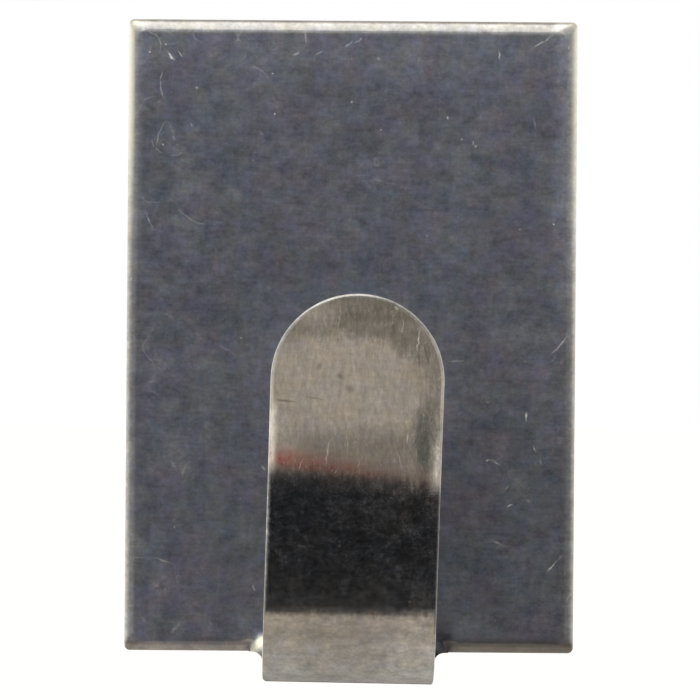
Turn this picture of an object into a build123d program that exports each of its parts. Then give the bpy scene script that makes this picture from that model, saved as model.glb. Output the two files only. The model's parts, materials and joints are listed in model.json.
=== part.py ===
from build123d import *
from math import cos, radians, sin
import os

# Adhesive hook: one stamped sheet of stainless steel with a foam tape pad on its back.
# Millimetres and degrees. X runs across the plate, Y runs into the wall and Z runs up.
# The origin is the centre of the rear face, where the hook meets the wall.

# Sheet and plate
plate_width = 32.0
plate_height = 45.0
sheet = 0.5
corner_radius = 0.4
corner_spread = 0.4
recess_corner = 0.3
rim_bend = 0.75
rim_depth = 1.25

# Tongue in front view; heights are above the plate's lower edge
tongue_width = 12.0
tip_height = 25.4
root_fillet = 0.8
root_land = 0.3
fold_skew = 0.7

# Tongue in side view; radii are on the side of the sheet that faces front on the plate
root_rise = 1.55
root_radius = 1.6
shelf_slope = 25.0
shelf_length = 2.3
bow_radius = 5.3
limb_lean = 2.0
flare_height = 11.6
flare_radius = 15.0
flare_angle = 12.0
edge_round = 0.18
bow_corner = 0.5

# How far the tongue keeps its section beyond its sides, and how far it laps onto the plate
blend_lap = 0.1
plate_lap = 0.6

# Turns of the rim's bend, from its side to its front, where its outline is drawn
rim_turns = (0, 15, 30, 45, 60, 75, 90)

# Foam tape and its release liner
pad_thickness = 1.0
pad_margin = 1.0
pad_corner = 1.0
liner_thickness = 0.12

# Places that follow from the sizes
pad_back = -liner_thickness
sheet_back = pad_back - pad_thickness
plate_front = sheet_back - sheet
rim_back = plate_front + rim_depth
lower_edge = -plate_height / 2
bend_start = lower_edge + root_rise
lap_top = bend_start + plate_lap
tip_top = lower_edge + tip_height
flare_start = lower_edge + flare_height
tongue_half = tongue_width / 2
blend_start = tongue_half + blend_lap
mouth_half = tongue_half + root_fillet + root_land
past_all = plate_height


def rim_section(turn):
    """Front view outline of the plate where its bend has turned this far from the side."""
    inset = rim_bend * (1 - cos(radians(turn)))
    depth = rim_bend * (1 - sin(radians(turn)))
    corner = corner_radius + corner_spread * inset
    outline = RectangleRounded(plate_width - 2 * inset, plate_height - 2 * inset, corner)
    return Plane.XZ.offset(-plate_front - depth) * outline


def tray_recess():
    """The hollow behind the plate, inside its rim."""
    outline = RectangleRounded(plate_width - 2 * sheet, plate_height - 2 * sheet, recess_corner)
    hollow = extrude(Plane.XZ.offset(-rim_back) * outline, rim_back - sheet_back)
    return fillet(hollow.faces().sort_by(Axis.Y)[0].edges(), rim_bend - sheet)


def plate_tray():
    """The plate with its rim turned back all round, like a very shallow tray."""
    bend = loft([rim_section(turn) for turn in rim_turns])
    side = extrude(rim_section(0), rim_bend - rim_depth)
    return bend + side - tray_recess()


def through(outline):
    """A front view outline carried right through the hook."""
    return extrude(Plane.XZ * outline, past_all, both=True)


def root_run(depth):
    """Side view of the tongue's root, at a depth behind the sheet's front side."""
    lap = Line((plate_front + depth, lap_top), (plate_front + depth, bend_start))
    bend = JernArc(lap @ 1, lap % 1, root_radius + depth, shelf_slope - 90)
    shelf = PolarLine(bend @ 1, shelf_length, direction=bend % 1)
    return [lap, bend, shelf]


def limb_run(depth):
    """Side view of the rest of the tongue: round the bow, up the limb and out to the tip."""
    shelf = root_run(depth)[-1]
    bow = JernArc(shelf @ 1, shelf % 1, bow_radius + depth, limb_lean - 90 - shelf_slope)
    climb = flare_start - (bow @ 1).Y
    limb = PolarLine(bow @ 1, climb, direction=bow % 1, length_mode=LengthMode.VERTICAL)
    flare = JernArc(limb @ 1, limb % 1, flare_radius - depth, flare_angle)
    rest = tip_top + sheet - (flare @ 1).Y
    tip = PolarLine(flare @ 1, rest, direction=flare % 1, length_mode=LengthMode.VERTICAL)
    return [bow, limb, flare, tip]


def unrolled(run):
    """The same run with its bends laid flat in the plane of the plate."""
    edges = [run[0]]
    for edge in run[1:]:
        start = edges[-1] @ 1
        edges.append(Line(start, start + (run[0] % 1) * edge.length))
    return edges


def section(front_run, back_run, x):
    """The sheet's section between its front and back sides, on the plane at x."""
    ends = [Line(front_run[0] @ 0, back_run[0] @ 0), Line(front_run[-1] @ 1, back_run[-1] @ 1)]
    return Plane.YZ.offset(x) * make_face(Wire([*front_run, *back_run, *ends]))


def root_ear(side):
    """The sheet beside the tongue, which passes from the tongue's bend into the flat plate."""
    front, back = root_run(0), root_run(sheet)
    bent = section(front, back, side * blend_start)
    level = section(unrolled(front), unrolled(back), side * mouth_half)
    return loft([bent, level], ruled=True)


def about_root(turn):
    """A turn about the middle of the plate's lower edge, for a shape drawn in the plate's frame."""
    return Pos(0, 0, lower_edge) * turn * Pos(0, 0, -lower_edge)


def leaning(outline):
    """A front view outline turned as the limb is, twice as far as its fold is out of square."""
    return Pos(0, lower_edge) * Rot(0, 0, -2 * fold_skew) * Pos(0, -lower_edge) * outline


def strip_outline(top):
    """Front view of the tongue's two sides, up to a height."""
    return leaning(Pos(0, top - past_all / 2) * Rectangle(tongue_width, past_all))


def root_outline():
    """Front view of the tongue's root, with a concave fillet on each side."""
    mouth = Pos(0, (lap_top + lower_edge) / 2) * Rectangle(plate_width, lap_top - lower_edge)
    outline = mouth + strip_outline(lap_top)
    corners = outline.vertices().sort_by(lambda v: abs(abs(v.X) - tongue_half) + abs(v.Y - lower_edge))
    return fillet(corners[:2], root_fillet)


def limb_outline():
    """Front view of the limb, with its full round tip."""
    centre = tip_top - tongue_half
    return strip_outline(centre) + leaning(Pos(0, centre) * Circle(tongue_half))


def bow_outline():
    """Front view of the whole strip, with the soft corners that the bow gives its underside."""
    low = limb_run(sheet)[0].bounding_box().min.Y - bow_corner / 5
    strip = Pos(0, low + past_all / 2) * Rectangle(tongue_width, past_all)
    return leaning(fillet(strip.vertices().group_by(Axis.Y)[0], bow_corner))


def tongue_root():
    """The bend out of the plate and the short shelf after it, with an ear on each side."""
    strip = extrude(section(root_run(0), root_run(sheet), 0), blend_start, both=True)
    root = strip + root_ear(1) + root_ear(-1)
    return about_root(Rot(0, fold_skew, 0)) * root & through(root_outline())


def tongue_limb():
    """The bow, the limb and the flared tip, with their long edges rounded."""
    strip = extrude(section(limb_run(0), limb_run(sheet), 0), tongue_width, both=True)
    limb = about_root(Rot(0, fold_skew, 0)) * strip & through(limb_outline())
    across = limb.edges().filter_by(lambda e: e.geom_type == GeomType.LINE and abs((e % 0).X) > 0.5)
    through_sheet = limb.edges().filter_by(lambda e: e.length < 2 * sheet)
    return fillet(limb.edges() - across - through_sheet, edge_round) & through(bow_outline())


def hook():
    """Plate and tongue as the one sheet that they are stamped from."""
    mouth = Pos(0, 0, bend_start - past_all / 2) * Box(2 * mouth_half, past_all, past_all)
    plate = plate_tray() - about_root(Rot(0, fold_skew, 0)) * mouth
    return plate + tongue_root() + tongue_limb()


def pad_slab(front, back):
    """A slab with rounded corners that clears the turned-back rim all round."""
    inset = 2 * (sheet + pad_margin)
    outline = RectangleRounded(plate_width - inset, plate_height - inset, pad_corner)
    return extrude(Plane.XZ.offset(-back) * outline, back - front)


def foam_pad():
    """Double-sided foam tape, seated on the back of the sheet."""
    return pad_slab(sheet_back, pad_back)


def release_liner():
    """Film over the adhesive, peeled off before use."""
    return pad_slab(pad_back, 0)


os.makedirs("parts", exist_ok=True)
for name, piece in (
    ("hook", hook()),
    ("foam_pad", foam_pad()),
    ("release_liner", release_liner()),
):
    export_step(piece, os.path.join("parts", name + ".step"))
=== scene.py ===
import json
from math import atan2, cos, pi, radians, sin

import bpy
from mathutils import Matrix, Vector

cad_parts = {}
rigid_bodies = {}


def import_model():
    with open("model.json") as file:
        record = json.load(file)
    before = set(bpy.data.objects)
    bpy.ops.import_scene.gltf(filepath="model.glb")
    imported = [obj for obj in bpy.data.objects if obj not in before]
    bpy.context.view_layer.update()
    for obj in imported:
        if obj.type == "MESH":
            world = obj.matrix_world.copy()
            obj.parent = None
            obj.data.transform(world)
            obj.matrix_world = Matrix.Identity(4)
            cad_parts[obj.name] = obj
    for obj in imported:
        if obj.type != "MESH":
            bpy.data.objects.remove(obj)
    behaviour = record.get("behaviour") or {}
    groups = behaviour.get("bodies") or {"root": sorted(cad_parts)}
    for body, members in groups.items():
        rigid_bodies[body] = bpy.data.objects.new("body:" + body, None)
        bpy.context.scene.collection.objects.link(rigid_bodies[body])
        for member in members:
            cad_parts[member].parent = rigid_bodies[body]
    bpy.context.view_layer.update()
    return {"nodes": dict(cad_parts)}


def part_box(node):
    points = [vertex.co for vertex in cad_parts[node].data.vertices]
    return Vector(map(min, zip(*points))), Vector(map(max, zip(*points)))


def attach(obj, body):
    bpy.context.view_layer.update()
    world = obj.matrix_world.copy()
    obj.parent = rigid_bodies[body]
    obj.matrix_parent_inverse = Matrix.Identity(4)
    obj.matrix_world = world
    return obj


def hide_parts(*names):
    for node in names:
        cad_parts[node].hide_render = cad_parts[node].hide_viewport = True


bl_info = {
    "name": "Adhesive hook",
    "version": (1, 0, 0),
    "blender": (4, 5, 0),
    "location": "3D View > Sidebar > Adhesive hook",
    "description": "Finishes the stamped adhesive hook and sets up its stage",
    "category": "Object",
}

for leftover in list(bpy.data.objects):
    bpy.data.objects.remove(leftover)
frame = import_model()

MM = 0.001

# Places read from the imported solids
hook_low, hook_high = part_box("hook")
pad_low, pad_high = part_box("foam_pad")
liner_low, liner_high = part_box("release_liner")
plate_high = hook_high.z
plate_low = -plate_high

# The photograph's framing, in its own pixels
PHOTO_SIDE = 700
PHOTO_PLATE = 632.0
PHOTO_CENTRE = (350.9, 336.2)
PHOTO_TURN = radians(0.45)
PIXEL = (plate_high - plate_low) / PHOTO_PLATE

# Sizes that the solids' boxes don't give, in millimetres
SHEET = 0.5
TONGUE_HALF = 6.0
TIP_CENTRE = 19.4
TONGUE_TURN = radians(1.4)
PAD_CORNER = 1.0
PAD_PINCH = 0.2

# Long enough that a mark or an oval on the sheet's front ignores depth, in millimetres
DEEP = 1000.0

CORNER_FACETS = 8
SMOOTH_ANGLE = radians(40)
WHITE = (1, 1, 1, 1)


def linear(hex_colour):
    """A colour written as sRGB hex, as the linear values that a shader takes."""
    channels = [int(hex_colour[i:i + 2], 16) / 255 for i in (1, 3, 5)]
    return [c / 12.92 if c <= 0.04045 else ((c + 0.055) / 1.055) ** 2.4 for c in channels] + [1.0]


def add_node(tree, kind, inputs=None, stops=None, **settings):
    """Adds a node with settings, links or values by input, and a colour ramp's stops."""
    node = tree.nodes.new(kind)
    for name, value in settings.items():
        setattr(node, name, value)
    for key, value in (inputs or {}).items():
        if isinstance(value, bpy.types.NodeSocket):
            tree.links.new(value, node.inputs[key])
        else:
            node.inputs[key].default_value = value
    if stops:
        elements = node.color_ramp.elements
        for element, (place, colour) in zip(list(elements), (stops[0], stops[-1])):
            element.position, element.color = place, linear(colour)
        for place, colour in stops[1:-1]:
            elements.new(place).color = linear(colour)
    return node


def new_material(name):
    """An empty material and its node tree."""
    material = bpy.data.materials.new(name)
    material.use_nodes = True
    material.node_tree.nodes.clear()
    return material, material.node_tree


def dress(piece, material):
    """Gives a piece one material all over."""
    piece.data.materials.clear()
    piece.data.materials.append(material)


class HookFinish(bpy.types.PropertyGroup):
    """Colours and roughness of the hook's surfaces."""

    steel: bpy.props.FloatVectorProperty(
        name="Steel", description="Colour of the bare stainless sheet", subtype="COLOR", size=3,
        min=0, max=1, default=linear("#c6c6c8")[:3])
    plate_roughness: bpy.props.FloatProperty(
        name="Plate roughness", description="How hazy the plate's mill finish is", subtype="FACTOR",
        min=0, max=1, default=0.34)
    tongue_roughness: bpy.props.FloatProperty(
        name="Tongue roughness", description="How hazy the tongue is where the die has burnished it",
        subtype="FACTOR", min=0, max=1, default=0.22)
    foam: bpy.props.FloatVectorProperty(
        name="Foam", description="Colour of the foam tape", subtype="COLOR", size=3,
        min=0, max=1, default=linear("#e4e3dc")[:3])
    liner: bpy.props.FloatVectorProperty(
        name="Liner", description="Colour of the release liner", subtype="COLOR", size=3,
        min=0, max=1, default=linear("#ece9df")[:3])


class HookStage(bpy.types.PropertyGroup):
    """Places of the floor and the camera."""

    floor_drop: bpy.props.FloatProperty(
        name="Floor drop", description="Gap between the hook's lowest point and the floor",
        subtype="DISTANCE", default=10 * MM)
    camera_distance: bpy.props.FloatProperty(
        name="Camera distance", description="From the plate's front to the camera",
        subtype="DISTANCE", default=400 * MM)
    camera_elevation: bpy.props.FloatProperty(
        name="Camera elevation", description="Height of the camera's direction above the horizon",
        subtype="ANGLE", default=radians(0))
    camera_roll: bpy.props.FloatProperty(
        name="Camera roll", description="Turn of the picture that tips the plate clockwise",
        subtype="ANGLE", default=PHOTO_TURN)


def on_plate(x, y):
    """Where a pixel of the photograph falls on the plate, in millimetres across and up."""
    across = (x - PHOTO_CENTRE[0]) * PIXEL / MM
    up = (PHOTO_CENTRE[1] - y) * PIXEL / MM
    return across * cos(PHOTO_TURN) - up * sin(PHOTO_TURN), up * cos(PHOTO_TURN) + across * sin(PHOTO_TURN)


# How much larger the tongue is seen than the plate, since it stands nearer the camera
TONGUE_NEAR = 1.031


def on_tongue(x, y):
    """Where a pixel of the photograph falls on the tongue's front, in millimetres across and up."""
    across, up = on_plate(x, y)
    return across / TONGUE_NEAR, up / TONGUE_NEAR


# Knocks and scratches: start and end pixel in the photograph, width in millimetres, strength
PLATE_MARKS = (
    ((168, 53), (173, 59), 0.16, 0.8),
    ((178, 50), (182, 57), 0.10, 0.5),
    ((499, 51), (499, 60), 0.10, 0.6),
    ((553, 36), (531, 49), 0.12, 0.4),
    ((551, 355), (572, 332), 0.12, 0.35),
    ((445, 361), (464, 361), 0.08, 0.35),
    ((526, 412), (526, 421), 0.12, 0.6),
    ((486, 461), (488, 460), 0.12, 0.6),
    ((494, 461), (499, 465), 0.10, 0.5),
    ((508, 507), (512, 505), 0.10, 0.6),
    ((491, 539), (503, 546), 0.14, 0.25),
    ((548, 571), (556, 562), 0.14, 0.5),
    ((262, 466), (265, 470), 0.10, 0.6),
    ((253, 585), (255, 590), 0.10, 0.4),
    ((305, 31), (306, 43), 0.14, 0.3),
    ((293, 55), (300, 52), 0.12, 0.35),
    ((316, 55), (322, 51), 0.12, 0.35),
    ((345, 47), (352, 41), 0.12, 0.35),
    ((355, 44), (362, 37), 0.10, 0.3),
    ((160, 78), (162, 98), 0.10, 0.3),
    ((146, 213), (152, 228), 0.10, 0.35),
    ((472, 141), (473, 145), 0.10, 0.5),
    ((447, 117), (448, 119), 0.10, 0.5),
    ((172, 632), (179, 624), 0.25, 0.15),
    ((162, 72), (160, 79), 0.14, 0.25),
    ((163, 92), (162, 98), 0.12, 0.25),
    ((162, 99), (157, 102), 0.10, 0.25),
    ((191, 123), (192, 126), 0.12, 0.35),
    ((252, 159), (253, 161), 0.14, 0.35),
    ((260, 132), (262, 134), 0.22, 0.2),
    ((152, 140), (154, 147), 0.10, 0.2),
    ((534, 117), (535, 128), 0.10, 0.2),
    ((550, 83), (565, 80), 0.10, 0.2),
    ((417, 66), (420, 56), 0.10, 0.25),
    ((378, 57), (379, 59), 0.14, 0.3),
    ((469, 38), (469, 44), 0.10, 0.2),
    ((533, 446), (535, 452), 0.10, 0.4),
    ((540, 459), (541, 463), 0.10, 0.35),
    ((505, 490), (508, 486), 0.10, 0.35),
    ((527, 500), (529, 502), 0.12, 0.35),
    ((566, 602), (570, 594), 0.12, 0.35),
    ((494, 619), (495, 621), 0.12, 0.3),
    ((556, 562), (565, 552), 0.08, 0.2),
)
TONGUE_MARKS = (
    ((419, 331), (417, 352), 0.12, 0.45),
    ((403, 320), (402, 333), 0.10, 0.35),
    ((341, 305), (338, 331), 0.10, 0.25),
    ((329, 442), (326, 463), 0.14, 0.35),
    ((347, 428), (347, 456), 0.08, 0.2),
    ((408, 434), (407, 444), 0.10, 0.4),
    ((397, 452), (402, 470), 0.08, 0.25),
    ((352, 362), (357, 385), 0.16, 0.15),
    ((398, 311), (395, 305), 0.16, 0.3),
    ((302, 461), (299, 470), 0.10, 0.3),
    ((409, 602), (410, 603), 0.12, 0.35),
    ((290, 546), (314, 548), 0.10, 0.07),
)

# Dark stains and pits in the tip, given in the same way
TONGUE_STAINS = (
    ((275, 400), (294, 402), 0.16, 0.5),
    ((305, 397), (324, 400), 0.12, 0.3),
    ((339, 376), (342, 378), 0.36, 0.42),
    ((347, 389), (352, 390), 0.40, 0.3),
    ((320, 365), (318, 368), 0.35, 0.3),
    ((418, 352), (419, 366), 0.22, 0.5),
    ((424, 346), (428, 362), 0.20, 0.4),
)

# Patches of painted reflection and shade on the tongue and its root: middle in the photograph's pixels, radii
# in millimetres
PALE_PATCH_MIDDLE = (330, 401)
PALE_PATCH_RADII = (7.1, 4.6)
LIT_MIDDLE = (317, 315)
LIT_RADII = (1.3, 0.9)
SHADE_LENS_MIDDLE = (427, 442)
SHADE_LENS_RADII = (0.8, 2.6)
ROOT_SHADE_MIDDLE = (441, 641)
ROOT_SHADE_RADII = (1.0, 1.6)

# A mark fades from full to gone between these shares of its half width
MARK_FULL = 0.3
MARK_GONE = 1.3

# How much the painted red fringe falls for each millimetre to the right, and how far the flare faces down at
# its middle and by how much more at its right edge
RED_FRINGE_SLOPE = 0.118
FLARE_LEAN = 0.012
FLARE_SKEW = 0.034


def millimetres(tree):
    """Where a point of the surface lies in the part's frame, in millimetres."""
    coords = add_node(tree, "ShaderNodeTexCoord")
    return add_node(tree, "ShaderNodeVectorMath", {
        0: coords.outputs["Object"], "Scale": 1 / MM}, operation="SCALE").outputs[0]


def combine(tree, operation, first, *others):
    """Values taken together one after another by an operation."""
    for other in others:
        first = add_node(tree, "ShaderNodeMath", {0: first, 1: other}, operation=operation).outputs[0]
    return first


def total(tree, *terms):
    """Terms added up."""
    return combine(tree, "ADD", *terms)


def product(tree, *factors):
    """Factors multiplied."""
    return combine(tree, "MULTIPLY", *factors)


def strongest(tree, *marks):
    """The strongest of several marks at each point."""
    return combine(tree, "MAXIMUM", *marks)


def remainder(tree, whole, share):
    """What is left of a whole without a share of it."""
    return combine(tree, "SUBTRACT", whole, share)


def changed(tree, share, amount):
    """A factor of 1 that changes by an amount where a share is full."""
    return total(tree, product(tree, share, amount), 1.0)


def window(tree, value, start, end, low=0.0, high=1.0):
    """A value's smooth passage from low to high as it goes from start to end."""
    return add_node(tree, "ShaderNodeMapRange", {
        "Value": value, "From Min": start, "From Max": end, "To Min": low, "To Max": high,
    }, interpolation_type="SMOOTHSTEP").outputs[0]


def spread(tree, pattern, low, high):
    """A pattern's middle values laid out evenly from low to high."""
    return add_node(tree, "ShaderNodeMapRange", {
        "Value": pattern, "From Min": 0.25, "From Max": 0.75, "To Min": low, "To Max": high}).outputs[0]


def uneven(tree, place, fineness, detail, roughness, stretch=(1.0, 1.0, 1.0), seed=0.0):
    """An uneven pattern of so many features to the millimetre, drawn out along the axes."""
    stretched = add_node(tree, "ShaderNodeVectorMath", {0: place, 1: stretch}, operation="MULTIPLY")
    return add_node(tree, "ShaderNodeTexNoise", {
        "Vector": stretched.outputs[0], "W": seed, "Scale": fineness, "Detail": detail,
        "Roughness": roughness}, noise_dimensions="4D").outputs[0]


def crossing(tree, pattern, width):
    """Thin lines where a pattern crosses its middle value."""
    away = add_node(tree, "ShaderNodeMath", {0: total(tree, pattern, -0.5)}, operation="ABSOLUTE")
    return window(tree, away.outputs[0], width, 0.0)


def coated(tree, colour, *coats, how="MIX"):
    """A colour with others laid over it in order, each by its share."""
    for share, coat in coats:
        colour = add_node(tree, "ShaderNodeMix", {
            0: share, 6: colour, 7: coat}, data_type="RGBA", blend_type=how).outputs[2]
    return colour


def reach(tree, place, middle, turn, halves):
    """How far a point lies from a middle, which is 1 at the half lengths along and across."""
    from_middle = add_node(tree, "ShaderNodeMapping", {
        "Vector": place, "Location": (middle[0], 0, middle[1]), "Rotation": (0, turn, 0),
        "Scale": (halves[0], DEEP, halves[1])}, vector_type="TEXTURE")
    away = add_node(tree, "ShaderNodeVectorMath", {0: from_middle.outputs[0]}, operation="LENGTH")
    return away.outputs["Value"]


def oval(tree, place, middle, radii, softness):
    """1 inside an oval of the sheet's front, fading out over its rim."""
    return window(tree, reach(tree, place, middle, 0.0, radii), 1 + softness, 1 - softness)


def mark(tree, place, start, end, width):
    """A knock in the surface: 1 along the line from start to end, fading over its width."""
    line = Vector(end) - Vector(start)
    middle = Vector(start) + line / 2
    halves = (line.length / 2 + width / 2, width / 2)
    away = reach(tree, place, middle, -atan2(line.y, line.x), halves)
    return add_node(tree, "ShaderNodeMapRange", {
        "Value": away, "From Min": MARK_GONE, "From Max": MARK_FULL}).outputs[0]


def all_marks(tree, place, table, to_surface):
    """Every mark of a table, each at its strength.

    Each joins the others as soon as it is made, so that Cycles needn't hold them all at once.
    """
    marks = 0.0
    for start, end, width, strength in table:
        one = mark(tree, place, to_surface(*start), to_surface(*end), width)
        marks = strongest(tree, marks, product(tree, one, strength))
    return marks


class Sheet:
    """The stamped sheet as its material sees it.

    Its places are in millimetres: across, deep and height in the part's frame, sideways and risen
    along the leaning tongue from the plate's lower edge. Its parts are shares from 0 to 1.
    """

    def __init__(self, tree):
        self.tree = tree
        self.place = place = millimetres(tree)
        self.across, self.deep, self.height = add_node(tree, "ShaderNodeSeparateXYZ", {0: place}).outputs
        own = add_node(tree, "ShaderNodeMapping", {
            "Vector": place, "Location": (0, 0, plate_low / MM), "Rotation": (0, TONGUE_TURN, 0),
        }, vector_type="TEXTURE")
        self.sideways, _, self.risen = add_node(tree, "ShaderNodeSeparateXYZ", {0: own.outputs[0]}).outputs
        self.from_middle, self.beside = (
            add_node(tree, "ShaderNodeMath", {0: value}, operation="ABSOLUTE").outputs[0]
            for value in (self.across, self.sideways))

        self.plate = zone(self, 1.0, deep=(-2.9, -1.9))
        self.face = zone(self, self.plate, deep=(-1.52, -1.6))
        self.rim = remainder(tree, self.plate, self.face)
        self.tongue = remainder(tree, 1.0, self.plate)
        self.limb = zone(self, self.tongue, risen=(1.5, 2.5))
        self.tip = zone(self, self.tongue, risen=(11.5, 13.0))
        self.corner = zone(self, 1.0, risen=(3.0, 2.2), beside=(5.95, 6.1, 7.0, 7.9))

        # Mill grain is too fine to show, so it is drawn as coarse as the mottling that it leaves
        self.clouds = uneven(tree, place, fineness=0.35, detail=5.0, roughness=0.62)
        self.grain = uneven(tree, place, fineness=0.95, detail=5.0, roughness=0.8, stretch=(1.0, 1.0, 1.3))
        self.strokes = uneven(tree, place, fineness=3.4, detail=4.0, roughness=0.75, stretch=(1.0, 1.0, 0.3))
        self.scuffs = uneven(
            tree, place, fineness=3.2, detail=4.0, roughness=0.9, stretch=(1.0, 1.0, 1.2), seed=13.0)


def zone(sheet, part, **stretches):
    """How far a point lies in a part of the sheet, and in stretches of it along named places.

    A stretch is the place where it begins and the place where it is full. One that ends again also
    has the place up to which it is full and the place where it is gone.
    """
    tree = sheet.tree
    for name, places in stretches.items():
        along = getattr(sheet, name)
        part = product(tree, part, window(tree, along, *places[:2]))
        if len(places) == 4:
            part = product(tree, part, window(tree, along, places[3], places[2]))
    return part


def steel_tone(sheet):
    """How much lighter or darker each place of the sheet is than bare steel, partly as painted light and
    shade.
    """
    tree = sheet.tree

    # Rolled grain all over; short strokes up the tip, left by the tool that wiped it round
    grained = product(tree, spread(tree, sheet.grain, 0.54, 1.46), remainder(tree, 1.0, sheet.tip))
    wiped = product(tree, spread(tree, sheet.strokes, 0.72, 1.28), sheet.tip)

    # The rolls' fine weave, and scuffs that show most where the limb mirrors the dark
    weft = uneven(
        tree, sheet.place, fineness=2.4, detail=3.0, roughness=0.7, stretch=(0.22, 1.0, 1.5), seed=17.0)
    warp = uneven(
        tree, sheet.place, fineness=2.4, detail=3.0, roughness=0.7, stretch=(1.5, 1.0, 0.22), seed=19.0)
    inky = zone(sheet, sheet.limb, risen=(3.0, 4.8, 11.5, 12.8))
    scuffed = changed(tree, spread(tree, sheet.scuffs, -0.85, 0.6), inky)

    # Painted light on the plate: a painted highlight along its top and right edge, and painted shade at the
    # lower right
    top = window(tree, sheet.height, 16.5, 21.0, 1.0, 1.18)
    lower_right_shade = zone(sheet, sheet.plate, across=(3.0, 12.0), height=(-3.0, -14.0))
    right_edge_highlight = zone(sheet, sheet.plate, across=(13.8, 15.2), height=(-6.0, 12.0))

    # The bend's outside is darker, least at its two ends
    stretched = product(
        tree, zone(sheet, sheet.limb, risen=(11.8, 12.8, 14.9, 17.0)),
        window(tree, sheet.sideways, -5.5, -2.5, 0.3, 1.0), window(tree, sheet.sideways, 5.0, 3.0, 0.4, 1.0))

    # Painted highlights on the bow, at the right of its foot and at the left of its top
    foot_highlight = zone(sheet, sheet.tongue, risen=(2.0, 0.8), sideways=(0.0, 5.5))
    heel_highlight = zone(sheet, sheet.tongue, risen=(3.4, 2.6), sideways=(-1.5, -4.5))
    return product(
        tree, total(tree, grained, wiped), spread(tree, sheet.clouds, 0.91, 1.09),
        spread(tree, weft, 0.9, 1.1), spread(tree, warp, 0.92, 1.08), scuffed, top,
        changed(tree, lower_right_shade, -0.15), changed(tree, right_edge_highlight, 0.4), changed(tree, stretched, -0.4),
        changed(tree, foot_highlight, 0.3), changed(tree, heel_highlight, 0.15))


def tint_and_painted_reflection(sheet):
    """Bluish, olive and violet patches in the haze of the plate, on a cool cast that is a painted reflection
    of the bluish room, and cream on the rim and the tongue as a painted reflection of the warm light.
    """
    tree = sheet.tree
    cool = uneven(tree, sheet.place, fineness=0.8, detail=4.0, roughness=0.6, seed=3.0)
    warm = uneven(tree, sheet.place, fineness=0.4, detail=5.0, roughness=0.75, seed=7.0)
    bluish = window(tree, cool, 0.3, 0.7)
    rosy = window(tree, warm, 0.4, 0.6)
    # The face's cool cast is a painted reflection of the bluish room; its patches are the steel's own
    # mottling
    face_mottle_and_blue_cast = coated(tree, linear("#f4f3f6"), (bluish, linear("#e0e8ff")))
    blush = coated(tree, linear("#f8fffa"), (rosy, linear("#fff8fd")))
    face_mottle_and_blue_cast = coated(tree, face_mottle_and_blue_cast, (1.0, blush), how="MULTIPLY")
    # Cream on the rim and the tongue: a painted reflection of the warm light
    cream_reflection_tint = coated(tree, linear("#f4f1e6"), (bluish, linear("#eceef0")))
    inner = zone(sheet, sheet.face, height=(21.6, 21.3), from_middle=(15.5, 14.8))
    return coated(tree, cream_reflection_tint, (inner, face_mottle_and_blue_cast))


def shade_tip(sheet, steel):
    """The tip's painted reflections: a pale patch in its middle for the pale table, and painted shade on its
    shoulders and in a lens at its right for the dark room.
    """
    tree = sheet.tree
    ragged = uneven(
        tree, sheet.place, fineness=1.4, detail=4.0, roughness=0.7, stretch=(1.0, 1.0, 0.35), seed=5.0)
    frayed = add_node(tree, "ShaderNodeVectorMath", {
        0: sheet.place, 1: spread(tree, ragged, -0.5, 0.5)}, operation="ADD").outputs[0]
    pale_patch = oval(tree, frayed, on_tongue(*PALE_PATCH_MIDDLE), PALE_PATCH_RADII, 0.16)
    lit = product(tree, oval(tree, frayed, on_tongue(*LIT_MIDDLE), LIT_RADII, 0.6), 0.75)
    # Painted shade on the tip's shoulders, outside the pale patch and the lit spot
    shoulder_shade = product(
        tree, remainder(tree, 1.0, pale_patch), remainder(tree, 1.0, lit),
        zone(sheet, sheet.tongue, risen=(15.0, 17.5)), window(tree, sheet.sideways, 2.5, 4.5, 1.0, 0.8),
        spread(tree, sheet.strokes, 1.0, 0.65))
    # Painted shade in a lens at the tongue's right
    lens = product(
        tree, oval(tree, frayed, on_tongue(*SHADE_LENS_MIDDLE), SHADE_LENS_RADII, 0.5), sheet.limb,
        spread(tree, sheet.strokes, 1.05, 0.7))
    return coated(tree, steel, (shoulder_shade, linear("#7f7f7c")), (lens, linear("#6f7476")))


def paint_red_fringe(sheet, steel):
    """A painted red fringe of reflected light just above the bend, deepest on the left."""
    tree = sheet.tree
    above_bend = total(tree, sheet.risen, product(tree, sheet.sideways, RED_FRINGE_SLOPE))
    red_fringe = product(
        tree, window(tree, above_bend, 12.3, 13.0), window(tree, above_bend, 14.5, 13.2),
        window(tree, sheet.sideways, 5.0, -5.0, 0.2, 1.0), spread(tree, sheet.strokes, 0.0, 1.5),
        sheet.tongue, 0.7)
    return coated(tree, steel, (red_fringe, linear("#b85a55")))


def paint_rim_highlight(sheet, steel):
    """The rolled rim, with a painted highlight on its left side, strongest at the top left, and a weaker one
    on its right side.
    """
    tree = sheet.tree
    left = zone(sheet, sheet.rim, across=(-14.0, -15.6), height=(4.0, 18.0))
    right = zone(sheet, sheet.rim, across=(14.0, 15.0), height=(2.0, 20.0))
    rim_highlight = product(tree, total(tree, left, product(tree, right, 0.7)), 0.7)
    return coated(tree, steel, (rim_highlight, linear("#fffdf0")))


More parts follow.
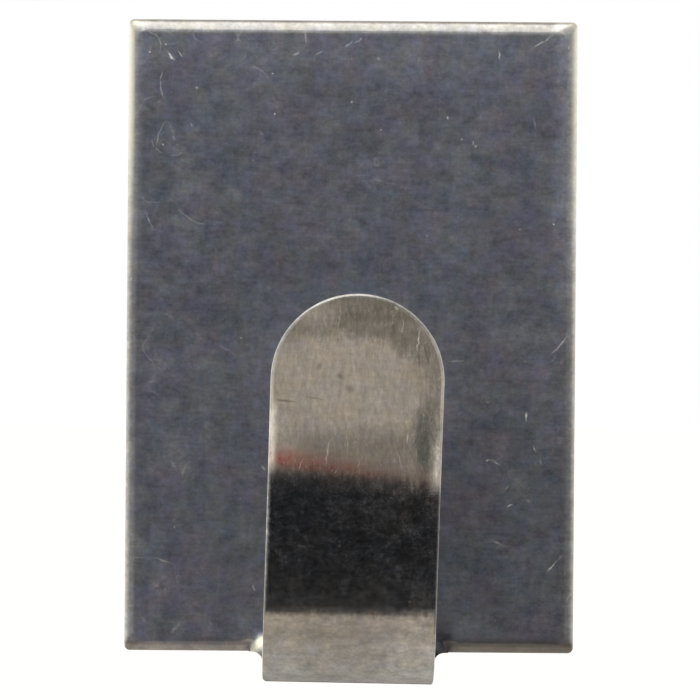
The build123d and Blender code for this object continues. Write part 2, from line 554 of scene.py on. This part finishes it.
def shade_low_edges(sheet, steel):
    """Painted shade on the lower rim and along the limb's right edge, darker low on the limb's left, and a
    painted shadow line along the lower rim's edge.
    """
    tree = sheet.tree
    low_rim = product(
        tree, zone(sheet, sheet.plate, height=(-21.3, -21.8)),
        window(tree, sheet.across, -16.0, 10.0, 0.15, 0.65))
    low_limb = product(
        tree, zone(sheet, sheet.tongue, risen=(0.8, 2.0, 5.0, 9.0)),
        window(tree, sheet.sideways, 1.0, 5.0, 0.28, 0.0))
    limb_edge = product(tree, zone(sheet, sheet.limb, sideways=(5.78, 5.88), risen=(13.0, 11.5)), 0.6)
    rim_shadow_line = product(tree, zone(sheet, sheet.plate, height=(-22.15, -21.95, -21.84, -21.72)), 0.35)
    low_shade = total(tree, low_rim, low_limb, limb_edge)
    return coated(tree, steel, (low_shade, linear("#7c776f")), (rim_shadow_line, linear("#2c2a2a")))


def shade_root(sheet, steel):
    """The corners at the tongue's root: a painted highlight on the left one, painted shade on the right one
    and on the plate beside it.
    """
    tree = sheet.tree
    shade = product(
        tree, oval(tree, sheet.place, on_plate(*ROOT_SHADE_MIDDLE), ROOT_SHADE_RADII, 0.5), sheet.plate, 0.6)
    right = product(tree, zone(sheet, sheet.corner, sideways=(-1.0, 1.0), risen=(2.0, 1.4)), 0.85)
    left = product(tree, zone(sheet, sheet.corner, sideways=(1.0, -1.0), deep=(-1.65, -1.75)), 0.9)
    return coated(
        tree, steel, (strongest(tree, shade, right), linear("#565458")), (left, linear("#fffdea")))


def knocks(sheet):
    """The knocks and scratches of the two tables, broken up and up to 0.15 mm off their straight lines."""
    tree = sheet.tree
    waves = add_node(tree, "ShaderNodeTexNoise", {"Vector": sheet.place, "Scale": 3.0, "Detail": 2.0})
    wobble = add_node(tree, "ShaderNodeVectorMath", {
        0: waves.outputs["Color"], 1: (0.5, 0.5, 0.5)}, operation="SUBTRACT").outputs[0]
    wavy = add_node(tree, "ShaderNodeVectorMath", {
        0: wobble, 1: (0.3, 0.3, 0.3), 2: sheet.place}, operation="MULTIPLY_ADD").outputs[0]
    on_the_plate = product(tree, all_marks(tree, wavy, PLATE_MARKS, on_plate), sheet.plate)
    on_the_tongue = product(tree, all_marks(tree, wavy, TONGUE_MARKS, on_tongue), sheet.tongue)
    broken = uneven(tree, sheet.place, fineness=5.0, detail=2.0, roughness=0.6, seed=9.0)
    return product(tree, strongest(tree, on_the_plate, on_the_tongue), spread(tree, broken, 0.5, 1.4))


def edge_highlights(sheet):
    """Painted highlights on the tongue's two edges, a fine painted highlight down its left one and a soft
    painted highlight round its tip.
    """
    tree = sheet.tree
    left = product(
        tree, zone(sheet, sheet.limb, sideways=(-5.3, -5.8), risen=(12.3, 13.8, 17.0, 18.4)),
        spread(tree, sheet.strokes, 0.3, 1.0))
    line = product(
        tree, zone(sheet, sheet.limb, sideways=(-5.65, -5.9), risen=(3.2, 5.0)),
        spread(tree, sheet.grain, 0.0, 0.3))
    right = product(
        tree, zone(sheet, sheet.limb, sideways=(4.9, 5.75), risen=(11.2, 12.8, 14.5, 18.0)),
        spread(tree, sheet.strokes, 0.1, 0.75))
    above = strongest(tree, total(tree, sheet.risen, -TIP_CENTRE), 0.0)
    outward = add_node(tree, "ShaderNodeCombineXYZ", {"X": sheet.sideways, "Z": above}).outputs[0]
    out = add_node(tree, "ShaderNodeVectorMath", {0: outward}, operation="LENGTH").outputs["Value"]
    tip_outline_highlight = product(
        tree, window(tree, out, TONGUE_HALF - 0.3, TONGUE_HALF - 0.15),
        zone(sheet, sheet.limb, risen=(14.0, 18.0)), spread(tree, sheet.grain, 0.2, 0.65))
    return strongest(tree, left, line, right, tip_outline_highlight)


def hairlines(sheet):
    """Long threads and short scribbles on the plate, strongest at its left, and hairs on the tip."""
    tree = sheet.tree
    threads = uneven(tree, sheet.place, fineness=0.22, detail=2.0, roughness=0.4, seed=11.0)
    scribbles = uneven(tree, sheet.place, fineness=1.3, detail=2.0, roughness=0.6, seed=29.0)
    hairs = uneven(
        tree, sheet.place, fineness=2.4, detail=1.0, roughness=0.5, stretch=(1.5, 1.0, 0.26), seed=23.0)
    thread = product(
        tree, crossing(tree, threads, 0.004), window(tree, sheet.clouds, 0.46, 0.58),
        window(tree, sheet.across, -8.0, -13.0, 0.14, 0.28), sheet.plate)
    scribble = product(
        tree, crossing(tree, scribbles, 0.02), window(tree, sheet.clouds, 0.5, 0.62),
        window(tree, sheet.across, -8.5, -13.5, 0.03, 0.16), sheet.plate)
    hair = product(tree, crossing(tree, hairs, 0.022), window(tree, sheet.scuffs, 0.46, 0.6), 0.22, sheet.tip)
    return strongest(tree, thread, scribble, hair)


def flecks(sheet):
    """Bright flecks strewn over the plate, in some cells of a loose grid of about a millimetre."""
    tree = sheet.tree
    cells = add_node(tree, "ShaderNodeTexVoronoi", {"Vector": sheet.place, "Scale": 0.9})
    cell = add_node(tree, "ShaderNodeSeparateXYZ", {0: cells.outputs["Color"]})
    chosen = window(tree, cell.outputs["X"], 0.6, 0.95)
    return product(tree, window(tree, cells.outputs["Distance"], 0.09, 0.03), chosen, 0.55, sheet.plate)


def wear_and_edge_highlights(sheet):
    """Knocks, scuffs, flecks and hairlines, rough metal that scatters light, and painted highlights along the
    tongue's edges.
    """
    tree = sheet.tree
    scuffed = product(tree, window(tree, sheet.scuffs, 0.48, 0.85), 0.03, sheet.limb)
    handled = product(tree, zone(sheet, sheet.limb, risen=(7.0, 3.0)), spread(tree, sheet.grain, 0.0, 0.06))
    worn_and_highlit_edges = total(tree, strongest(tree, knocks(sheet), edge_highlights(sheet), scuffed), handled)
    return strongest(tree, worn_and_highlit_edges, flecks(sheet), hairlines(sheet))


def steel_normal(sheet):
    """Which way the surface faces, with the slight bends of pressing and wiping."""
    tree = sheet.tree

    # The flare's bend is out of square, and strokes cut across the tongue
    out_of_square = total(tree, product(tree, sheet.sideways, FLARE_SKEW / TONGUE_HALF), FLARE_LEAN)
    flare = zone(sheet, sheet.tongue, height=(-15.0, -11.0))
    twist = product(tree, out_of_square, flare, -1.0)
    ripple = product(tree, spread(tree, sheet.strokes, -0.035, 0.035), sheet.tongue)

    # The rim runs out into the corners of the root, and the plate rolls over towards its rim
    hem = product(tree, zone(sheet, sheet.corner, height=(-21.4, -22.2), deep=(-1.75, -1.66)), -1.0)
    top = product(tree, zone(sheet, sheet.plate, height=(21.42, 21.75)), 0.13)
    left = product(tree, zone(sheet, sheet.plate, across=(-14.7, -15.5), height=(0.0, 14.0)), -0.28)
    right = product(tree, zone(sheet, sheet.plate, across=(14.5, 15.4), height=(0.0, 14.0)), 0.14)
    tilt = add_node(tree, "ShaderNodeCombineXYZ", {
        "X": total(tree, left, right), "Z": total(tree, twist, ripple, hem, top)}).outputs[0]
    geometry = add_node(tree, "ShaderNodeNewGeometry")
    bent = add_node(tree, "ShaderNodeVectorMath", {0: geometry.outputs["Normal"], 1: tilt}, operation="ADD")
    return add_node(tree, "ShaderNodeVectorMath", {0: bent.outputs[0]}, operation="NORMALIZE").outputs[0]


def rolling_direction(tree):
    """Across the sheet, where haze spreads since it was rolled up and down."""
    geometry = add_node(tree, "ShaderNodeNewGeometry")
    along = add_node(tree, "ShaderNodeVectorMath", {
        0: geometry.outputs["Normal"], 1: (0, 0, 1)}, operation="CROSS_PRODUCT").outputs[0]

    # A trace of depth gives faces that look straight up or down a direction too
    return add_node(tree, "ShaderNodeVectorMath", {0: along, 1: (0, 0.003, 0)}, operation="ADD").outputs[0]


def steel_material(finish):
    """Cold-rolled stainless sheet: a bare metal whose look is what it mirrors, hazed by its grain."""
    material, tree = new_material("cold_rolled_stainless")
    sheet = Sheet(tree)

    # Tone comes first and wear after the colours, because Cycles holds only so many values at once
    # and renders a material that needs more black
    tone = steel_tone(sheet)
    steel = coated(tree, [*finish.steel, 1.0], (1.0, tint_and_painted_reflection(sheet)), how="MULTIPLY")
    steel = paint_red_fringe(sheet, shade_tip(sheet, steel))
    steel = add_node(tree, "ShaderNodeVectorMath", {0: steel, "Scale": tone}, operation="SCALE").outputs[0]
    steel = shade_root(sheet, shade_low_edges(sheet, paint_rim_highlight(sheet, steel)))
    wear_and_highlights = wear_and_edge_highlights(sheet)
    stains = product(tree, all_marks(tree, sheet.place, TONGUE_STAINS, on_tongue), sheet.tongue)
    colour = coated(tree, steel, (stains, linear("#3a352b")), (wear_and_highlights, linear("#f2f0ea")))

    # Bare metal, under a thin dull film on the plate's face, and scattering where it is worn and where edge
    # highlights are painted
    film = product(tree, sheet.face, 0.08)
    metallic = remainder(tree, remainder(tree, 1.0, film), product(tree, wear_and_highlights, 0.85))

    # Hazier on the plate, burnished on the tongue, a little uneven on both
    base = add_node(tree, "ShaderNodeMapRange", {
        "Value": sheet.plate, "To Min": finish.tongue_roughness, "To Max": finish.plate_roughness}).outputs[0]
    roughness = total(
        tree, base, spread(tree, sheet.clouds, -0.02, 0.02), spread(tree, sheet.grain, -0.015, 0.015))

    surface = add_node(tree, "ShaderNodeBsdfPrincipled", {
        "Base Color": colour, "Metallic": metallic, "Roughness": roughness, "Normal": steel_normal(sheet),
        "Anisotropic": 0.5, "Tangent": rolling_direction(tree)})
    add_node(tree, "ShaderNodeOutputMaterial", {"Surface": surface.outputs[0]})
    return material


def foam_material(finish):
    """White foam tape: a dull skin of cells a fifth of a millimetre wide."""
    material, tree = new_material("foam_tape")
    cells = add_node(tree, "ShaderNodeTexVoronoi", {"Vector": millimetres(tree), "Scale": 5.0})
    # The cells' hollows are painted darker, as shade
    depth = window(tree, cells.outputs["Distance"], 0.1, 0.6)
    tint = coated(tree, linear("#d2d0c6"), (depth, [*finish.foam, 1.0]))
    bump = add_node(tree, "ShaderNodeBump", {"Height": depth, "Strength": 0.6, "Distance": 0.05 * MM})
    surface = add_node(tree, "ShaderNodeBsdfPrincipled", {
        "Base Color": tint, "Roughness": 0.85, "Normal": bump.outputs[0]})
    add_node(tree, "ShaderNodeOutputMaterial", {"Surface": surface.outputs[0]})
    return material


def liner_material(finish):
    """Coated release paper: smooth and faintly glossy, its fibres cloudy at about a millimetre."""
    material, tree = new_material("release_paper")
    fibres = add_node(tree, "ShaderNodeTexNoise", {
        "Vector": millimetres(tree), "Scale": 0.9, "Detail": 6.0, "Roughness": 0.7})
    share = window(tree, fibres.outputs[0], 0.3, 0.7)
    tint = coated(tree, linear("#e2ddcd"), (share, [*finish.liner, 1.0]))
    roughness = add_node(tree, "ShaderNodeMapRange", {
        "Value": share, "To Min": 0.45, "To Max": 0.33}).outputs[0]
    bump = add_node(tree, "ShaderNodeBump", {
        "Height": fibres.outputs[0], "Strength": 0.35, "Distance": 0.02 * MM})
    surface = add_node(tree, "ShaderNodeBsdfPrincipled", {
        "Base Color": tint, "Roughness": roughness, "Normal": bump.outputs[0]})
    add_node(tree, "ShaderNodeOutputMaterial", {"Surface": surface.outputs[0]})
    return material


def choose_edges(piece, wanted):
    """Enters edit mode with only the edges selected whose two ends pass a test."""
    bpy.ops.object.mode_set(mode="EDIT")
    bpy.ops.mesh.select_mode(type="EDGE")
    bpy.ops.mesh.select_all(action="DESELECT")
    bpy.ops.object.mode_set(mode="OBJECT")
    corners = piece.data.vertices
    for edge in piece.data.edges:
        edge.select = wanted(*(corners[i].co for i in edge.vertices))
    bpy.ops.object.mode_set(mode="EDIT")


def slab(name, low, high):
    """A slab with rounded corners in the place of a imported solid, left in edit mode."""
    bpy.ops.object.select_all(action="DESELECT")
    bpy.ops.mesh.primitive_cube_add(size=1.0, location=(low + high) / 2)
    piece = bpy.context.active_object
    piece.name = name
    piece.scale = high - low
    bpy.ops.object.transform_apply(location=True, rotation=True, scale=True)
    choose_edges(piece, lambda a, b: abs(a.y - b.y) > (high.y - low.y) / 2)
    bpy.ops.mesh.bevel(offset=PAD_CORNER * MM, segments=CORNER_FACETS, affect="EDGES")
    return piece


def require_faces(piece):
    """Stops a step whose piece has come out empty."""
    if not piece.data.polygons:
        raise RuntimeError(f"{piece.name} has no faces")


def finish_slab(piece, node, material):
    """Smooths a slab's round corners, dresses it and puts it in its node's place."""
    bpy.ops.object.mode_set(mode="OBJECT")
    bpy.ops.object.shade_smooth_by_angle(angle=SMOOTH_ANGLE)
    require_faces(piece)
    dress(piece, material)
    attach(piece, "root")
    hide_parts(node)


class MakeFoam(bpy.types.Operator):
    """Model the foam tape behind the plate"""

    bl_idname = "adhesive_hook.make_foam"
    bl_label = "Make foam tape"

    def execute(self, context):
        piece = slab("foam_tape", pad_low, pad_high)
        middle = (pad_low + pad_high) / 2
        bpy.ops.mesh.select_all(action="SELECT")
        bpy.ops.mesh.bisect(plane_co=middle, plane_no=(0, 1, 0))
        pinch = 1 - PAD_PINCH * MM / (pad_high.x - pad_low.x)
        bpy.ops.transform.resize(value=(pinch, 1, pinch), center_override=middle)
        finish_slab(piece, "foam_pad", foam_material(context.scene.hook_finish))
        return {"FINISHED"}


class MakeLiner(bpy.types.Operator):
    """Model the release liner over the tape's adhesive"""

    bl_idname = "adhesive_hook.make_liner"
    bl_label = "Make release liner"

    def execute(self, context):
        piece = slab("peel_liner", liner_low, liner_high)
        finish_slab(piece, "release_liner", liner_material(context.scene.hook_finish))
        return {"FINISHED"}


class FinishHook(bpy.types.Operator):
    """Give the stamped hook its steel finish"""

    bl_idname = "adhesive_hook.finish_hook"
    bl_label = "Finish hook"

    def execute(self, context):
        hook = frame["nodes"]["hook"]
        require_faces(hook)
        dress(hook, steel_material(context.scene.hook_finish))
        return {"FINISHED"}


# What the steel mirrors, at half its light. RISING goes from straight down to straight up,
# SIDEWAYS and TABLE go from the camera's side to the wall's, and SIDE_SHARE says from left to right
# how far SIDEWAYS takes the place of RISING
WORLD_GAIN = 2.0
RISING = (
    (0.0, "#0f1011"),
    (0.5, "#0f1011"),
    (0.53, "#212227"),
    (0.55, "#35363e"),
    (0.585, "#52555d"),
    (0.65, "#8f9097"),
    (0.71, "#d6d3cf"),
    (0.775, "#ece8e2"),
    (1.0, "#ece8e2"),
)
SIDEWAYS = (
    (0.0, "#0f1011"),
    (0.015, "#131416"),
    (0.04, "#545967"),
    (0.06, "#5a5e69"),
    (0.11, "#616369"),
    (0.185, "#696b70"),
    (0.273, "#767675"),
    (0.38, "#888683"),
    (0.51, "#a3a19b"),
    (0.655, "#bbb8b1"),
    (0.82, "#d3cfc8"),
    (1.0, "#d3cfc8"),
)
TABLE = (
    (0.025, "#998f84"),
    (0.15, "#90887e"),
    (0.34, "#8c867f"),
    (0.5, "#8c867f"),
    (0.7, "#8d8982"),
    (0.86, "#87837d"),
    (0.95, "#7e7b76"),
    (1.0, "#84817c"),
)
SIDE_SHARE = (
    (0.0, "#ffffff"),
    (0.06, "#ffffff"),
    (0.2, "#000000"),
    (0.6, "#000000"),
    (0.75, "#ffffff"),
    (1.0, "#ffffff"),
)

# The stage: lengths in metres, the sensor's in millimetres
FLOOR_SIDE = 4.0
LAMP_TURN = (radians(20), radians(-15), 0)
LAMP_STRENGTH = 1.2
LAMP_SOFTNESS = radians(60)
SENSOR_WIDTH = 36.0
NEAREST = 0.01
FARTHEST = 10.0


def band(tree, direction, stops):
    """The colours met along one axis of the directions, from its lowest to its highest."""
    place = add_node(tree, "ShaderNodeMapRange", {"Value": direction, "From Min": -1.0}).outputs[0]
    return add_node(tree, "ShaderNodeValToRGB", {0: place}, stops).outputs[0]


def studio_world():
    """A soft studio: bright overhead, pale at the sides, dark behind the camera, white to the camera."""
    world = bpy.data.worlds.new("studio")
    world.use_nodes = True
    tree = world.node_tree
    tree.nodes.clear()
    coords = add_node(tree, "ShaderNodeTexCoord")
    way = add_node(tree, "ShaderNodeSeparateXYZ", {0: coords.outputs["Generated"]})
    right, back, up = way.outputs

    # The room's walls, seen straight up and down or to the sides
    flat = add_node(tree, "ShaderNodeCombineXYZ", {"X": right, "Z": up})
    turn = add_node(tree, "ShaderNodeVectorMath", {0: flat.outputs[0]}, operation="NORMALIZE")
    turned = add_node(tree, "ShaderNodeSeparateXYZ", {0: turn.outputs[0]}).outputs["X"]
    room = coated(
        tree, band(tree, up, RISING), (band(tree, turned, SIDE_SHARE), band(tree, back, SIDEWAYS)))
    dimmer = window(tree, right, 0.05, 0.4, 1.0, 0.8)
    room = add_node(tree, "ShaderNodeVectorMath", {0: room, "Scale": dimmer}, operation="SCALE").outputs[0]

    # The wall above and behind the hook, and the table below it
    behind_above = product(tree, window(tree, back, 0.15, 0.5), window(tree, up, 0.2, 0.5))
    below = window(tree, up, -0.265, -0.328)
    room = coated(tree, room, (behind_above, linear("#8c8880")), (below, band(tree, back, TABLE)))

    seen_directly = add_node(tree, "ShaderNodeLightPath").outputs["Is Camera Ray"]
    colour = coated(tree, room, (seen_directly, WHITE))
    strength = add_node(tree, "ShaderNodeMapRange", {
        "Value": seen_directly, "To Min": WORLD_GAIN, "To Max": 1.0}).outputs[0]
    background = add_node(tree, "ShaderNodeBackground", {"Color": colour, "Strength": strength})
    add_node(tree, "ShaderNodeOutputWorld", {"Surface": background.outputs[0]})
    return world


def floor_material():
    """Pale matt board; it shows white to the camera and still takes the hook's shadow."""
    material, tree = new_material("pale_board")
    path = add_node(tree, "ShaderNodeLightPath")
    board = add_node(tree, "ShaderNodeBsdfDiffuse", {"Color": linear("#f4f2ee")})
    white = add_node(tree, "ShaderNodeEmission", {"Color": WHITE, "Strength": 1.0})
    half = product(tree, path.outputs["Is Camera Ray"], 0.5)
    shown = add_node(tree, "ShaderNodeMixShader", {0: half, 1: board.outputs[0], 2: white.outputs[0]})
    add_node(tree, "ShaderNodeOutputMaterial", {"Surface": shown.outputs[0]})
    return material


class SetStage(bpy.types.Operator):
    """Add the pale floor, the soft light and the camera"""

    bl_idname = "adhesive_hook.set_stage"
    bl_label = "Set stage"

    def execute(self, context):
        stage = context.scene.hook_stage
        scene = context.scene
        bpy.ops.mesh.primitive_plane_add(size=FLOOR_SIDE, location=(0, 0, hook_low.z - stage.floor_drop))
        floor = context.active_object
        floor.name = "floor"
        dress(floor, floor_material())
        floor.visible_glossy = False
        scene.world = studio_world()
        bpy.ops.object.light_add(type="SUN", rotation=LAMP_TURN)
        lamp = context.active_object
        lamp.name = "overhead_softbox"
        lamp.data.energy = LAMP_STRENGTH
        lamp.data.angle = LAMP_SOFTNESS
        lamp.data.color = linear("#fff6ea")[:3]
        lamp.visible_glossy = False
        add_camera(scene, stage)
        scene.view_settings.view_transform = "Standard"
        return {"FINISHED"}


def add_camera(scene, stage):
    """The camera in front of the plate, framed as the photograph."""
    camera = bpy.data.objects.new("camera", bpy.data.cameras.new("camera"))
    scene.collection.objects.link(camera)
    scene.camera = camera
    camera.data.sensor_width = SENSOR_WIDTH
    camera.data.lens = SENSOR_WIDTH * stage.camera_distance / (PIXEL * PHOTO_SIDE)
    plate_front = pad_low.y - SHEET * MM
    aim = Vector((
        (PHOTO_SIDE / 2 - PHOTO_CENTRE[0]) * PIXEL,
        plate_front,
        (PHOTO_CENTRE[1] - PHOTO_SIDE / 2) * PIXEL,
    ))
    tilt = stage.camera_elevation
    back = Vector((0, -cos(tilt), sin(tilt)))
    camera.location = aim + back * stage.camera_distance
    camera.rotation_euler = (pi / 2 - tilt, 0, 0)
    camera.rotation_euler.rotate_axis("Z", stage.camera_roll)
    camera.data.clip_start = NEAREST
    camera.data.clip_end = FARTHEST


class AdhesiveHookPanel(bpy.types.Panel):
    """Sidebar panel with the hook's steps and settings"""

    bl_idname = "VIEW3D_PT_adhesive_hook"
    bl_label = "Adhesive hook"
    bl_space_type = "VIEW_3D"
    bl_region_type = "UI"
    bl_category = "Adhesive hook"

    def draw(self, context):
        for settings in (context.scene.hook_finish, context.scene.hook_stage):
            for name in settings.__annotations__:
                self.layout.prop(settings, name)
        for step in STEPS:
            self.layout.operator(step.bl_idname)


STEPS = (FinishHook, MakeFoam, MakeLiner, SetStage)
CLASSES = (HookFinish, HookStage, *STEPS, AdhesiveHookPanel)


def register():
    for item in CLASSES:
        bpy.utils.register_class(item)
    bpy.types.Scene.hook_finish = bpy.props.PointerProperty(type=HookFinish)
    bpy.types.Scene.hook_stage = bpy.props.PointerProperty(type=HookStage)


def unregister():
    del bpy.types.Scene.hook_stage
    del bpy.types.Scene.hook_finish
    for item in reversed(CLASSES):
        bpy.utils.unregister_class(item)


def main():
    """Registers the add-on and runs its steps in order."""
    register()
    bpy.ops.adhesive_hook.finish_hook()
    bpy.ops.adhesive_hook.make_foam()
    bpy.ops.adhesive_hook.make_liner()
    bpy.ops.adhesive_hook.set_stage()


if __name__ == "__main__":
    main()
